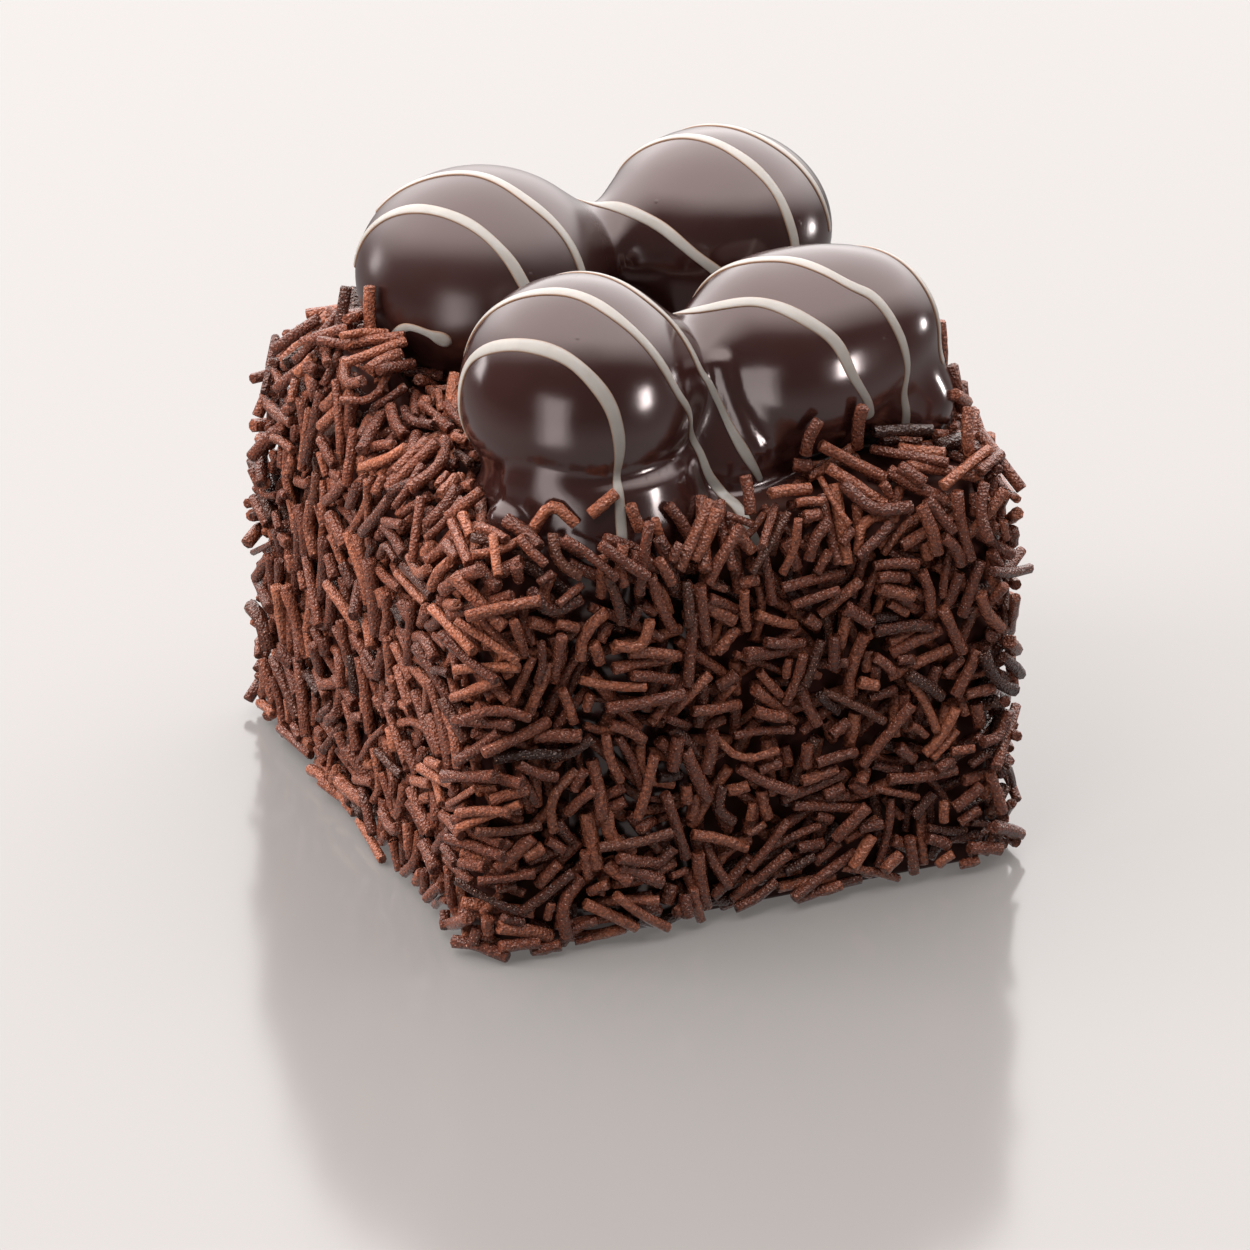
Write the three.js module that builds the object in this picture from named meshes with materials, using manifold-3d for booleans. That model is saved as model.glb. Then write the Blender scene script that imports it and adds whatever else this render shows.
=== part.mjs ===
// A small square chocolate cake: a block coated with chocolate vermicelli, and on it four
// profiteroles, two by two, under one poured glaze with lines of white icing across them.
//
// Millimetres, +Z up. The origin is the middle of the flat underside. +X runs along the front
// face to the right, and +Y runs from the front face to the back.
import * as THREE from 'three';
import Module from 'manifold-3d';
import { mergeVertices } from 'three/addons/utils/BufferGeometryUtils.js';

const wasm = await Module();
wasm.setup();

// ---- driving dimensions ----------------------------------------------------------------------

// the block under its coat of vermicelli
const BLOCK = {
  width: 68.4, depth: 72.6, height: 53.6,
  cornerRadius: 5.5, topRadius: 7.5, footRadius: 2.5, footInset: 0.6, bulge: 0.3,
  smallestCorner: 1.0,
};

// the sides wave in and out a little, as far in as this from the outline
const RIPPLE = { depth: 0.3, turnOfWave: 9, shiftOfSide: 2, reach: 2.0 };

// how finely the block is divided: along a side, round a corner, up the side and over the rim
const BLOCK_STEPS = { side: 6, corner: 4, levels: [16, 31], rimAngles: [28, 52, 74] };

// centre and half axes of each glazed profiterole
const BALLS = {
  front: { at: [-15.2, -20.0, 64.8], half: [14.1, 14.1, 13.9] },
  left: { at: [-12.5, 17.6, 63.6], half: [15.2, 15.2, 12.6] },
  back: { at: [18.3, 17.4, 64.3], half: [14.2, 14.2, 12.0] },
  right: { at: [12.7, -18.0, 63.6], half: [13.4, 13.4, 12.4] },
};

// what the glaze adds to the balls: a shoulder on the right one, a skirt where it drips off the
// front one, and the reach over which it rounds the valleys between them
const SHOULDER = { at: [22.8, -18.4, 65.5], half: [8.5, 8.5, 8.5] };
const SKIRT = { x: -14.5, y: -22.5, top: 58.8, radius: 12.4, edge: 3.0 };
const BLEND = { balls: 8.0, skirt: 1.6 };

// glaze that has run together on top of the block, between and beside the balls
const POOLS = [
  { at: [1.5, -1.5, 52.0], half: [13.0, 13.0, 7.5] },
  { at: [2.5, -24.0, 52.5], half: [9.0, 10.0, 7.0] },
  { at: [29.0, -22.5, 54.0], half: [5.5, 6.5, 5.0] },
];
const POOL_STEPS = { around: 14, down: 8 };

// where the glaze of one profiterole ends and the next begins, seen from above; the box round each
// reaches far out, and starts below the top of the block
const SPLIT = { y: -1.5, frontPairX: -1.0, backPairX: 3.0, far: 60, below: 10 };
const GAP = 0.3;

// how the surface is looked for from inside: by strides of a share of the distance that is left
const SEARCH = { start: 2, strides: 80, share: 0.9, closeEnough: 0.01, ballLimit: 21, icingLimit: 24 };
const BALL_DETAIL = 4;

// the white lines all run one way; each is given by its distance from the middle of its ball
const ICING = {
  heading: -54.5, width: 1.8, stand: 0.45, sides: 5, steps: 9, fromAngle: -38, toAngle: 218,
  lines: { front: [9.8, 2.5, -4.9], left: [7.2, -0.9], back: [2.0, -5.6], right: [9.6, 2.4, -6.0] },
};

const VERMICELLI = {
  count: 204, thickness: 1.8, shortest: 5.5, longest: 10.5, stand: 1.1, sides: 4,
  bentShare: 0.15, bend: 1.3, clearOfGlaze: 2.9, candidates: 24, topMargin: 8.5, lowest: 1.0,
  overhang: 0.9, lengthSpread: 0.1, leanRange: 16, inwardShare: 0.45, seed: 7,
};

const COAT = { colour: '#3b1d14', roughness: 0.6 };
const GLAZE = { colour: '#24130f', roughness: 0.15 };

// ---- small helpers ---------------------------------------------------------------------------

/** Repeatable random numbers from 0 to 1. */
function randomFrom(seed) {
  let state = seed;
  return () => {
    state = (state + 0x6d2b79f5) | 0;
    let t = Math.imul(state ^ (state >>> 15), 1 | state);
    t = (t + Math.imul(t ^ (t >>> 7), 61 | t)) ^ t;
    return ((t ^ (t >>> 14)) >>> 0) / 4294967296;
  };
}

const radians = THREE.MathUtils.degToRad;

/** The same geometry with only positions, and with its shared vertices merged. */
function merged(geometry, tolerance = 1e-4) {
  geometry.deleteAttribute('normal');
  geometry.deleteAttribute('uv');
  return mergeVertices(geometry, tolerance);
}

/** A closed geometry as a solid that can be joined and cut. */
function solid(geometry, tolerance) {
  const closed = merged(geometry, tolerance);
  return new wasm.Manifold(new wasm.Mesh({
    numProp: 3,
    vertProperties: new Float32Array(closed.attributes.position.array),
    triVerts: new Uint32Array(closed.index.array),
  }));
}

function geometryOf(manifold) {
  const { vertProperties, triVerts } = manifold.getMesh();
  const geometry = new THREE.BufferGeometry();
  geometry.setAttribute('position', new THREE.BufferAttribute(vertProperties, 3));
  geometry.setIndex(new THREE.BufferAttribute(triVerts, 1));
  return geometry;
}

/** The largest body of a solid, without the scraps and sealed hollows that fusing can leave. */
function mainBody(manifold) {
  const closed = solid(geometryOf(manifold), 2e-3);
  return closed.decompose().reduce((a, b) => (a.volume() > b.volume() ? a : b));
}

function namedMesh(name, manifold, { colour, roughness }) {
  const geometry = geometryOf(manifold);
  geometry.computeVertexNormals();
  const material = new THREE.MeshStandardMaterial({ color: colour, roughness, metalness: 0 });
  const mesh = new THREE.Mesh(geometry, material);
  mesh.name = name;
  return mesh;
}

// ---- the form of the glaze, as distances: below 0 is inside ----------------------------------

/** The lower of two distances, rounded over where they meet within reach. */
function blend(a, b, reach) {
  const h = Math.max(reach - Math.abs(a - b), 0) / reach;
  return Math.min(a, b) - (h * h * reach) / 4;
}

function toEllipsoid(p, { at, half }) {
  const q = [p.x - at[0], p.y - at[1], p.z - at[2]];
  const k0 = Math.hypot(q[0] / half[0], q[1] / half[1], q[2] / half[2]);
  const k1 = Math.hypot(q[0] / half[0] ** 2, q[1] / half[1] ** 2, q[2] / half[2] ** 2) + 1e-9;
  return (k0 * (k0 - 1)) / k1;
}

/** Distance to a corner that is rounded by edge, from the distances to its two faces. */
function toRoundedCorner(a, b, edge) {
  const outA = a + edge;
  const outB = b + edge;
  return Math.hypot(Math.max(outA, 0), Math.max(outB, 0)) + Math.min(Math.max(outA, outB), 0) - edge;
}

function toSkirt(p) {
  const sideways = Math.hypot(p.x - SKIRT.x, p.y - SKIRT.y) - SKIRT.radius;
  return toRoundedCorner(sideways, p.z - SKIRT.top, SKIRT.edge);
}

/** Distance to the four balls under their glaze. */
function toBalls(p) {
  let distance = toEllipsoid(p, SHOULDER);
  for (const ball of Object.values(BALLS)) {
    distance = blend(distance, toEllipsoid(p, ball), BLEND.balls);
  }
  return blend(distance, toSkirt(p), BLEND.skirt);
}

/** Distance to all the glaze that the vermicelli keep clear of. */
function toGlaze(p) {
  return Math.min(toBalls(p), ...POOLS.map((pool) => toEllipsoid(p, pool)));
}

/** How far the surface is from a point well inside, in one direction, up to a limit. */
function reachOf(from, direction, limit) {
  const point = new THREE.Vector3();
  let travelled = SEARCH.start;
  for (let stride = 0; stride < SEARCH.strides; stride += 1) {
    point.copy(direction).multiplyScalar(travelled).add(from);
    const distance = -toBalls(point);
    travelled += Math.max(distance, 0) * SEARCH.share;
    if (distance < SEARCH.closeEnough || travelled > limit) break;
  }
  return Math.min(travelled, limit);
}

// ---- the block -------------------------------------------------------------------------------

/** How far in the side stands at a height: rounded at the top, drawn in slightly at the foot. */
function insetAt(z) {
  const { height, topRadius, footRadius, footInset, bulge } = BLOCK;
  const overTop = Math.max(z - (height - topRadius), 0);
  const top = topRadius - Math.sqrt(topRadius ** 2 - overTop ** 2);
  const foot = footInset * Math.max(1 - z / footRadius, 0) ** 2;
  return top + foot - bulge * Math.sin((Math.PI * z) / height);
}

/**
 * A point on the outline of the block, which has eight stretches: each side is followed by the
 * corner at its end. The share runs from 0 to 1 along the stretch.
 */
function outlinePoint(stretch, share, inset) {
  const corner = Math.max(BLOCK.cornerRadius - inset, BLOCK.smallestCorner);
  const half = [BLOCK.width / 2 - inset, BLOCK.depth / 2 - inset];
  const side = Math.floor(stretch / 2);
  const isCorner = stretch % 2 === 1;
  const [out, along] = side % 2 === 0 ? half : [half[1], half[0]];
  const wave = side * RIPPLE.shiftOfSide + (isCorner ? 1 : share) * RIPPLE.turnOfWave;
  const ripple = inset < RIPPLE.reach ? RIPPLE.depth * Math.sin(wave) : 0;
  const turn = isCorner ? radians(90 * share) : 0;
  const reach = along - corner;
  const point = new THREE.Vector2(out - corner, isCorner ? reach : reach * (2 * share - 1));
  point.x += (corner + ripple) * Math.cos(turn);
  point.y += (corner + ripple) * Math.sin(turn);
  return point.rotateAround(new THREE.Vector2(), radians(90 * side));
}

function blockSolid() {
  const { height, topRadius, footRadius } = BLOCK;
  const levels = [0, footRadius, ...BLOCK_STEPS.levels, height - topRadius];
  for (const angle of BLOCK_STEPS.rimAngles) {
    levels.push(height - topRadius + topRadius * Math.sin(radians(angle)));
  }
  levels.push(height);

  const positions = [];
  for (const z of levels) {
    const inset = z === height ? topRadius : insetAt(z);
    for (let stretch = 0; stretch < 8; stretch += 1) {
      const steps = stretch % 2 === 0 ? BLOCK_STEPS.side : BLOCK_STEPS.corner;
      for (let i = 0; i < steps; i += 1) {
        const point = outlinePoint(stretch, i / steps, inset);
        positions.push(point.x, point.y, z);
      }
    }
  }
  const around = 4 * (BLOCK_STEPS.side + BLOCK_STEPS.corner);
  const underside = positions.length / 3;
  positions.push(0, 0, 0);
  const summit = underside + 1;
  positions.push(0, 0, height);

  const faces = [];
  for (let level = 0; level + 1 < levels.length; level += 1) {
    for (let i = 0; i < around; i += 1) {
      const a = level * around + i;
      const b = level * around + ((i + 1) % around);
      faces.push(a, b, b + around, a, b + around, a + around);
    }
  }
  const lastRing = (levels.length - 1) * around;
  for (let i = 0; i < around; i += 1) {
    const next = (i + 1) % around;
    faces.push(underside, next, i, summit, lastRing + i, lastRing + next);
  }
  const geometry = new THREE.BufferGeometry();
  geometry.setAttribute('position', new THREE.Float32BufferAttribute(positions, 3));
  geometry.setIndex(faces);
  return solid(geometry);
}

function poolSolid({ at, half }) {
  const geometry = new THREE.SphereGeometry(1, POOL_STEPS.around, POOL_STEPS.down);
  geometry.rotateX(Math.PI / 2).scale(...half).translate(...at);
  return solid(geometry);
}

// ---- the vermicelli --------------------------------------------------------------------------

/** A place on the block's sides or on the rim of its top, with the direction it faces. */
function placeOnBlock(random) {
  const { height, topRadius, width, depth, cornerRadius } = BLOCK;
  const straight = height - topRadius;
  const overTop = topRadius * (Math.PI / 2);
  const rise = random() * (straight + overTop + VERMICELLI.topMargin);
  const lean = THREE.MathUtils.clamp((rise - straight) / topRadius, 0, Math.PI / 2);
  const z = rise < straight ? rise : straight + topRadius * Math.sin(lean);
  const onTop = Math.max(rise - straight - overTop, 0);
  const inset = rise < straight ? insetAt(rise) : topRadius * (1 - Math.cos(lean)) + onTop;

  // each stretch of the outline gets its share by length
  const corner = (cornerRadius * Math.PI) / 2;
  const lengths = [depth - 2 * cornerRadius, corner, width - 2 * cornerRadius, corner];
  let at = random() * 2 * lengths.reduce((sum, length) => sum + length);
  let stretch = 0;
  while (at > lengths[stretch % 4]) {
    at -= lengths[stretch % 4];
    stretch += 1;
  }
  const share = at / lengths[stretch % 4];
  const here = outlinePoint(stretch, share, inset);
  const ahead = outlinePoint(stretch, share + 0.01, inset);
  const along = new THREE.Vector3(ahead.x - here.x, ahead.y - here.y, 0).normalize();
  const facing = new THREE.Vector3(along.y, -along.x, 0).multiplyScalar(Math.cos(lean));
  facing.z = Math.sin(lean);
  return { at: new THREE.Vector3(here.x, here.y, z), facing, along };
}

/** A regular outline with its first corner on +X. */
function polygon(sides, width) {
  const outline = new THREE.Shape();
  for (let i = 0; i < sides; i += 1) {
    const turn = (i / sides) * Math.PI * 2;
    const point = [(width / 2) * Math.cos(turn), (width / 2) * Math.sin(turn)];
    if (i === 0) outline.moveTo(...point);
    else outline.lineTo(...point);
  }
  return outline;
}

/** One strand along Z, bent sideways in its middle, or straight. */
function strandGeometry(length, bend) {
  const { thickness, sides } = VERMICELLI;
  const steps = bend === 0 ? 1 : 2;
  const geometry = new THREE.ExtrudeGeometry(polygon(sides, thickness), {
    depth: length, steps, bevelEnabled: false,
  });
  geometry.translate(0, 0, -length / 2);
  const position = geometry.attributes.position;
  for (let i = 0; i < position.count; i += 1) {
    const share = (2 * position.getZ(i)) / length;
    position.setY(i, position.getY(i) + bend * (1 - share * share));
  }
  return geometry;
}

function vermicelliSolids() {
  const {
    count, candidates, thickness, stand, shortest, longest, bentShare, clearOfGlaze, lowest,
    overhang, lengthSpread, leanRange, inwardShare,
  } = VERMICELLI;
  const random = randomFrom(VERMICELLI.seed);
  const placed = [];
  const strands = [];
  while (strands.length < count) {
    // of several random places, the one farthest from all strands so far is taken
    let best = null;
    for (let i = 0; i < candidates; i += 1) {
      const place = placeOnBlock(random);
      const room = Math.min(...placed.map((other) => other.distanceTo(place.at)));
      if (toGlaze(place.at) > clearOfGlaze && (!best || room > best.room)) best = { ...place, room };
    }
    if (!best) continue;
    // the largest come first
    const share = strands.length / count;
    const spread = 1 + lengthSpread * (2 * random() - 1);
    const length = THREE.MathUtils.lerp(longest, shortest, share) * spread;
    const roll = (random() - 0.5) * Math.PI;
    const lift = radians((random() - inwardShare) * leanRange);
    const heading = best.along.clone().applyAxisAngle(best.facing, roll);
    const across = new THREE.Vector3().crossVectors(heading, best.facing).normalize();
    heading.applyAxisAngle(across, lift);
    const outward = new THREE.Vector3().crossVectors(across, heading).normalize();
    const middle = best.at.clone().addScaledVector(best.facing, stand - thickness / 2);
    const bend = random() < bentShare ? VERMICELLI.bend : 0;
    const axis = [-1, -0.5, 0, 0.5, 1].map((t) => middle.clone()
      .addScaledVector(heading, (t * length) / 2).addScaledVector(across, bend * (1 - t * t)));
    const isLoose = (p) => Math.abs(p.x) > BLOCK.width / 2 + overhang
      || Math.abs(p.y) > BLOCK.depth / 2 + overhang;
    if (axis.some((p) => toGlaze(p) < clearOfGlaze || p.z < lowest || isLoose(p))) continue;
    const turned = new THREE.Matrix4().makeBasis(outward, across, heading);
    turned.setPosition(middle);
    placed.push(best.at);
    strands.push(solid(strandGeometry(length, bend).applyMatrix4(turned)));
  }
  return strands;
}

// ---- the profiteroles ------------------------------------------------------------------------

/** The box of space that one profiterole and its glaze may fill, above the block. */
function quarterSolid(side) {
  const isFront = side === 'front' || side === 'right';
  const splitX = isFront ? SPLIT.frontPairX : SPLIT.backPairX;
  const isLeft = side === 'front' || side === 'left';
  const { far, below } = SPLIT;
  const x = isLeft ? [-far, splitX - GAP / 2] : [splitX + GAP / 2, far];
  const y = isFront ? [-far, SPLIT.y - GAP / 2] : [SPLIT.y + GAP / 2, far];
  const box = new THREE.BoxGeometry(x[1] - x[0], y[1] - y[0], far);
  box.translate((x[0] + x[1]) / 2, (y[0] + y[1]) / 2, BLOCK.height - below + far / 2);
  return solid(box);
}

/** A ball and its share of the glaze: every direction from its middle, out to the surface. */
function ballSolid(side) {
  const from = new THREE.Vector3(...BALLS[side].at);
  const geometry = merged(new THREE.IcosahedronGeometry(1, BALL_DETAIL), 1e-2);
  const position = geometry.attributes.position;
  const direction = new THREE.Vector3();
  for (let i = 0; i < position.count; i += 1) {
    direction.fromBufferAttribute(position, i).normalize();
    const reach = reachOf(from, direction, SEARCH.ballLimit);
    direction.multiplyScalar(reach).add(from);
    position.setXYZ(i, direction.x, direction.y, direction.z);
  }
  return solid(geometry);
}

/** One line of icing: where an upright plane at an offset from the ball's middle cuts the surface. */
function icingSolid(side, offset) {
  const { heading, width, stand, sides, steps, fromAngle, toAngle } = ICING;
  const ahead = new THREE.Vector3(Math.cos(radians(heading)), Math.sin(radians(heading)), 0);
  const aside = new THREE.Vector3(ahead.y, -ahead.x, 0);
  const from = new THREE.Vector3(...BALLS[side].at).addScaledVector(aside, offset);
  const points = [];
  for (let step = 0; step <= steps; step += 1) {
    const angle = radians(THREE.MathUtils.lerp(fromAngle, toAngle, step / steps));
    const direction = ahead.clone().multiplyScalar(Math.cos(angle)).setZ(Math.sin(angle));
    const reach = reachOf(from, direction, SEARCH.icingLimit) - width / 2 + stand;
    points.push(from.clone().addScaledVector(direction, reach));
  }
  return solid(new THREE.ExtrudeGeometry(polygon(sides, width), {
    steps, extrudePath: new THREE.CatmullRomCurve3(points),
  }));
}

function profiteroleSolid(side, baseWithGap) {
  let piece = ballSolid(side);
  for (const offset of ICING.lines[side]) {
    piece = piece.add(icingSolid(side, offset));
  }
  return mainBody(piece.intersect(quarterSolid(side)).subtract(baseWithGap));
}

// ---- the whole cake --------------------------------------------------------------------------

const cake = new THREE.Group();

const base = POOLS.map(poolSolid).reduce((all, pool) => all.add(pool), blockSolid());
const coated = vermicelliSolids().reduce((all, strand) => all.add(strand), base);
cake.add(namedMesh('cake', mainBody(coated), COAT));

const baseWithGap = base.translate([0, 0, GAP]);
for (const side of Object.keys(BALLS)) {
  const profiterole = profiteroleSolid(side, baseWithGap);
  cake.add(namedMesh(`profiterole_${side}`, profiterole, GLAZE));
}

export default cake;
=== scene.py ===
"""A small square chocolate cake: four profiteroles under one dark glaze, with lines of icing across them,
on a block that is coated with chocolate vermicelli.

The shapes are worked out in millimetres, in the same frame as the CAD: +Z up, the front towards -Y.
"""
import math

import bpy
import numpy as np
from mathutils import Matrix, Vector


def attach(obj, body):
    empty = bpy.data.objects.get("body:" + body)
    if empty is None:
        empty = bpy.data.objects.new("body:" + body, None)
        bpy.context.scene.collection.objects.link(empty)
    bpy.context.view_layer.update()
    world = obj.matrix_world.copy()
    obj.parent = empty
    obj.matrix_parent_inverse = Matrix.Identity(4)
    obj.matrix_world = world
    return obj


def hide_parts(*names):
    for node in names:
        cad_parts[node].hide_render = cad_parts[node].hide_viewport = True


MM = 0.001
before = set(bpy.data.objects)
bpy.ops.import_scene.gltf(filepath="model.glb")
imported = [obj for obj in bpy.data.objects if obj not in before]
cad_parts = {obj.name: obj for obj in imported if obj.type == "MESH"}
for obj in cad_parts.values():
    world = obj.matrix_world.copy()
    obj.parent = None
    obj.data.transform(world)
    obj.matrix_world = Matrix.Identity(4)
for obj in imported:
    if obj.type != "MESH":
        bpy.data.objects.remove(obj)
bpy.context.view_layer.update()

# --- Camera: the photograph's viewing angle -------------------------------------------------------------
CAMERA = {"turn": 22.434, "elevation": 26.551, "distance": 1500.0, "target": (-0.726, 0.3, 21.59),
          "focal_px": 12313.4, "frame_px": 1250.0, "sensor": 36.0}

# --- The glazed body, in mm -----------------------------------------------------------------------------
BLOCK = {"width": 65.6, "depth": 69.8, "height": 52.6, "corner_radius": 2.6, "top_radius": 6.0}
# The back left corner of its top is worn down to a sloping plane: the plane's normal and its distance.
WORN = {"normal": (-0.740, 0.530, 0.417), "level": 60.7, "round": 5.0}
BALLS = {  # centre and half sizes
    "front": ((-15.2, -20.0, 64.8), (14.1, 14.1, 13.9)),
    "left": ((-12.5, 17.6, 63.6), (15.2, 15.2, 12.6)),
    "back": ((18.3, 17.4, 64.3), (14.2, 14.2, 12.0)),
    "right": ((12.7, -18.0, 63.6), (13.4, 13.4, 12.4)),
    "shoulder": ((22.8, -18.4, 65.5), (8.5, 8.5, 8.5)),
}
# Glaze that has run together or spilt, and the cores of two heaps of vermicelli: centre and half sizes.
WEB = ((2.5, -22.0, 54.5), (9.0, 7.6, 7.0))         # between the front pair
POOL = ((1.5, -1.5, 52.0), (13.0, 13.0, 7.5))       # in the middle of the four
DOME = ((26.0, -21.2, 57.0), (6.5, 7.0, 6.5))       # at the foot of the shoulder
LUMP = ((-27.2, -27.6, 53.6), (2.4, 2.8, 2.0))      # beside the skirt
HEAP = ((-28.4, 13.0, 51.5), (3.6, 9.2, 6.2))       # on the rim beside the left ball
SIDE_HEAP = ((29.5, -18.5, 54.0), (4.0, 5.5, 6.0))  # against the shoulder
# The front ball stands in a skirt of glaze, which flares below its top edge, as far down as it is tall.
SKIRT = {"x": -14.5, "y": -22.5, "top": 59.0, "radius": 11.8, "flare": 0.33, "tall": 6.0, "edge": 1.7}
FACET = {"at": (-22.6, -29.0, 57.1), "half": (5.5, 2.5, 4.2), "turn": -33.7}    # a flatter part of it
FOLD = {    # a fold in the glaze, which runs down between the front pair
    "line": [(1.2, -25.1, 67.5), (1.4, -25.9, 65.7), (2.0, -26.6, 63.0), (3.0, -27.9, 59.9),
             (4.3, -28.7, 57.4)],
    "radius": 0.8,
}
# How widely each form is blended into the rest.
BLEND = {"balls": 8.0, "web": 4.0, "pool": 6.0, "dome": 3.2, "skirt": 1.6, "fold": 1.2, "facet": 1.2,
         "lump": 1.5, "block": 1.6, "heap": 1.8}
FOOT = 1.0              # below this height the mesh keeps the flat cut that the cake stands on
GROUND_FROM = 1.0       # how far from the glazed profiteroles the ground begins
DULL_WITHIN = 2.0       # how close to the left ball its glaze turns duller
# The grid that the mesh is made on, and how much of its own place a point keeps when the mesh is evened.
NET = {"cell": 0.62, "margin": 3.0, "below": 1.5, "top": 80.0, "keep": 0.4}


def smooth_min(a, b, width):
    """The lower of two distances, with the corner between them rounded over the width."""
    share = np.maximum(width - np.abs(a - b), 0) / width
    return np.minimum(a, b) - share * share * width / 4


def to_ellipsoid(points, centre, half):
    """Roughly the distance to an ellipsoid, below zero inside it."""
    q = points - np.array(centre)
    scaled = np.linalg.norm(q / np.array(half), axis=-1)
    slope = np.linalg.norm(q / np.array(half) ** 2, axis=-1) + 1e-9
    return scaled * (scaled - 1) / slope


def to_rounded_edge(a, b, radius):
    """The distance to a solid's side a and top b, with the edge between them rounded."""
    a = a + radius
    b = b + radius
    return np.hypot(np.maximum(a, 0), np.maximum(b, 0)) + np.minimum(np.maximum(a, b), 0) - radius


def to_block(points):
    """The distance to the block, whose worn corner is the cut by the plane."""
    half = np.array([BLOCK["width"], BLOCK["depth"]]) / 2
    q = np.abs(points[..., :2]) - half
    side = to_rounded_edge(q[..., 0], q[..., 1], BLOCK["corner_radius"])
    block = to_rounded_edge(side, points[..., 2] - BLOCK["height"], BLOCK["top_radius"])
    return -smooth_min(-block, WORN["level"] - points @ np.array(WORN["normal"]), WORN["round"])


def to_skirt(points):
    """The distance to a round skirt with a rounded top edge."""
    height = points[..., 2] - SKIRT["top"]
    radius = SKIRT["radius"] + SKIRT["flare"] * np.clip(-height, 0, SKIRT["tall"])
    side = np.hypot(points[..., 0] - SKIRT["x"], points[..., 1] - SKIRT["y"]) - radius
    return to_rounded_edge(side, height, SKIRT["edge"])


def to_fold(points):
    """The distance to a round rod along the fold's line."""
    line = np.array(FOLD["line"])
    d = None
    for start, end in zip(line, line[1:]):
        along = np.clip((points - start) @ (end - start) / ((end - start) @ (end - start)), 0, 1)
        stretch = np.linalg.norm(points - start - along[..., None] * (end - start), axis=-1)
        d = stretch if d is None else np.minimum(d, stretch)
    return d - FOLD["radius"]


def to_facet(points):
    """The distance to an upright, flat ellipsoid that is turned about the vertical."""
    turn = math.radians(FACET["turn"])
    q = points - np.array(FACET["at"])
    along = q[..., 0] * math.cos(turn) + q[..., 1] * math.sin(turn)
    ahead = q[..., 1] * math.cos(turn) - q[..., 0] * math.sin(turn)
    return to_ellipsoid(np.stack([along, ahead, q[..., 2]], -1), (0, 0, 0), FACET["half"])


def to_glaze(points):
    """The distance to the glazed profiteroles and the pools between them."""
    d = None
    for centre, half in BALLS.values():
        ball = to_ellipsoid(points, centre, half)
        d = ball if d is None else smooth_min(d, ball, BLEND["balls"])
    d = smooth_min(d, to_ellipsoid(points, *WEB), BLEND["web"])
    d = smooth_min(d, to_ellipsoid(points, *POOL), BLEND["pool"])
    d = smooth_min(d, to_ellipsoid(points, *DOME), BLEND["dome"])
    d = smooth_min(d, to_ellipsoid(points, *LUMP), BLEND["lump"])
    d = smooth_min(d, to_skirt(points), BLEND["skirt"])
    d = smooth_min(d, to_facet(points), BLEND["facet"])
    return smooth_min(d, to_fold(points), BLEND["fold"])


def to_body(points):
    """The distance to the whole glazed body, with the block and the cores of the heaps."""
    body = smooth_min(to_glaze(points), to_block(points), BLEND["block"])
    heaps = np.minimum(to_ellipsoid(points, *HEAP), to_ellipsoid(points, *SIDE_HEAP))
    return smooth_min(body, heaps, BLEND["heap"])


def normal_at(points, step=0.03):
    shifts = np.eye(3) * step
    slope = np.stack([to_body(points + s) - to_body(points - s) for s in shifts], -1)
    return slope / (np.linalg.norm(slope, axis=-1, keepdims=True) + 1e-12)


def onto_body(points, rounds=4):
    """Moves points onto the body's surface, each along its own normal."""
    for _ in range(rounds):
        points = points - normal_at(points) * to_body(points)[..., None]
    return points


def to_standing_body(points):
    """The distance to the body cut flat at the bottom, where it stands."""
    return np.maximum(to_body(points), -points[..., 2])


def onto_standing_body(points):
    """Moves points onto the body's surface, apart from those at its foot, and none below the flat cut."""
    low = points[..., 2] < FOOT
    points = np.where(low[..., None], points, onto_body(points, 2))
    points[..., 2] = np.maximum(points[..., 2], 0)
    return points


# --- Mesh helpers ---------------------------------------------------------------------------------------
def mesh_object(name, points, faces, material):
    """A smooth-shaded mesh from points in mm and arrays of triangles or quads."""
    loops = np.concatenate([f.ravel() for f in faces])
    sizes = np.concatenate([np.full(len(f), f.shape[1]) for f in faces])
    mesh = bpy.data.meshes.new(name)
    mesh.vertices.add(len(points))
    mesh.vertices.foreach_set("co", (points * MM).astype(np.float32).ravel())
    mesh.loops.add(len(loops))
    mesh.loops.foreach_set("vertex_index", loops.astype(np.int32))
    mesh.polygons.add(len(sizes))
    mesh.polygons.foreach_set("loop_start", (np.cumsum(sizes) - sizes).astype(np.int32))
    mesh.polygons.foreach_set("use_smooth", np.ones(len(sizes), bool))
    mesh.update(calc_edges=True)
    mesh.validate()
    mesh.materials.append(material)
    piece = bpy.data.objects.new(name, mesh)
    bpy.context.scene.collection.objects.link(piece)
    return piece


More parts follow.
